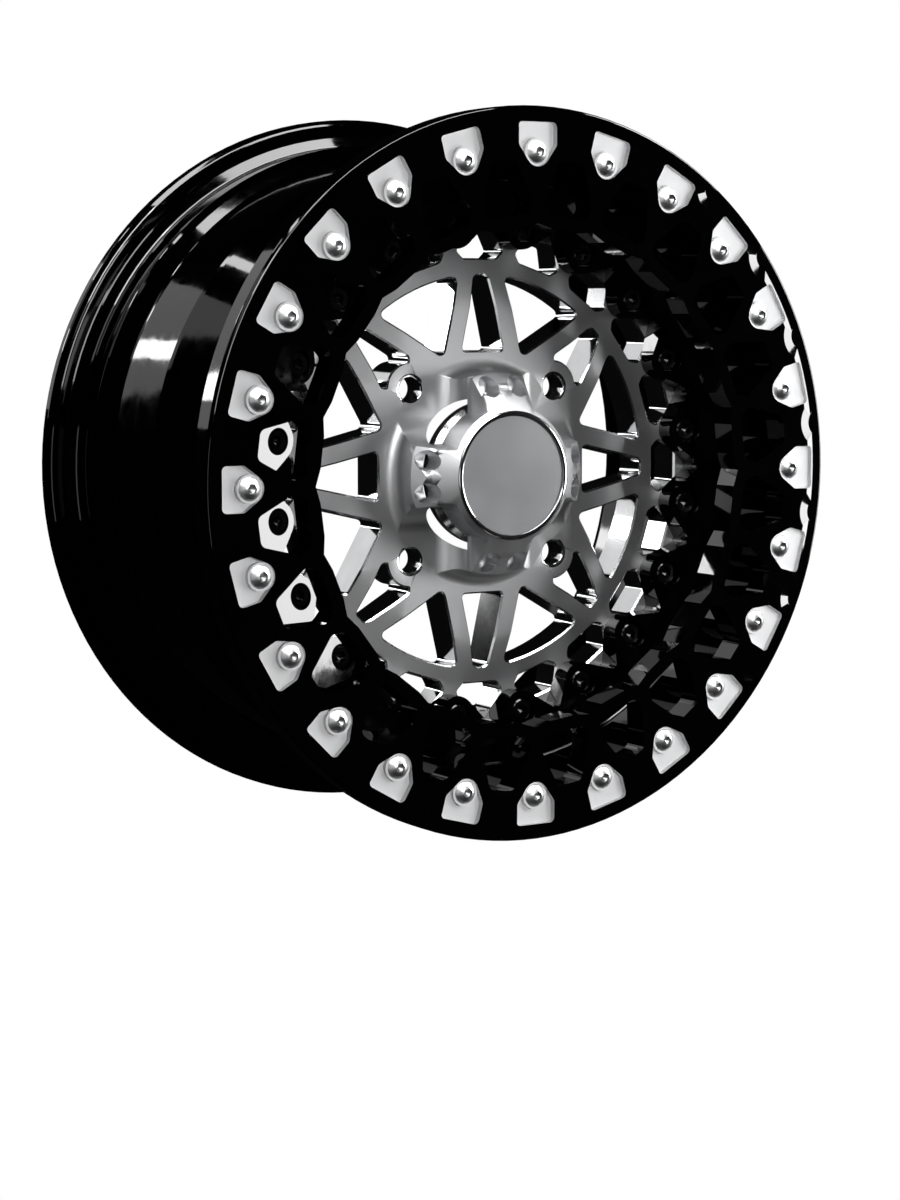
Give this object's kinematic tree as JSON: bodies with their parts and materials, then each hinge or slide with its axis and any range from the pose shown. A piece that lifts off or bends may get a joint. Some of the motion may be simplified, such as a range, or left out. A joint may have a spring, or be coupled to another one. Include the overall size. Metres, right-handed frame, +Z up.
{
  "type": "beadlock wheel",
  "caption": "Two-piece beadlock wheel: black barrel, machined spoked centre with a raised cap on four legs, and a bolted clamp ring for the tyre bead.",
  "frame": {"origin": "on the wheel axis, halfway between the two bead seats' flanges", "axes": "+Y along the wheel axis from the outboard face to the vehicle, +Z up with one spoke window at the top, +X to the right seen from outboard"},
  "size_m": [0.4155, 0.2125, 0.4156],
  "materials": {
    "black_gloss": "gloss black coating, bare metal in the bolt pads",
    "machined_alloy": "machined, clear coated",
    "bolt_steel": "zinc plated, satin",
    "black_steel": "black oxide",
    "polished_cap": "turned and polished",
    "brushed_plate": "brushed, satin",
    "seal_rubber": "matte black",
    "valve_brass": "nickel-free turned brass",
    "black_plastic": "matte black"
  },
  "bodies": {
    "root": {"barrel": "black_gloss", "wheel_centre": "machined_alloy", "beadlock_ring": "black_gloss", "ring_bolts": "bolt_steel", "ring_washers": "bolt_steel", "ring_inserts": "bolt_steel", "centre_bolts": "black_steel", "centre_inserts": "bolt_steel", "cap_body": "polished_cap", "cap_plate": "brushed_plate", "cap_o_ring": "seal_rubber", "cap_rear_ring": "seal_rubber", "cap_snap_ring": "bolt_steel", "valve_stem": "valve_brass", "valve_inner_seal": "seal_rubber", "valve_outer_seal": "seal_rubber", "valve_washer": "bolt_steel", "valve_nut": "bolt_steel", "valve_core": "valve_brass", "valve_cap": "black_plastic"}
  },
  "joints": []
}
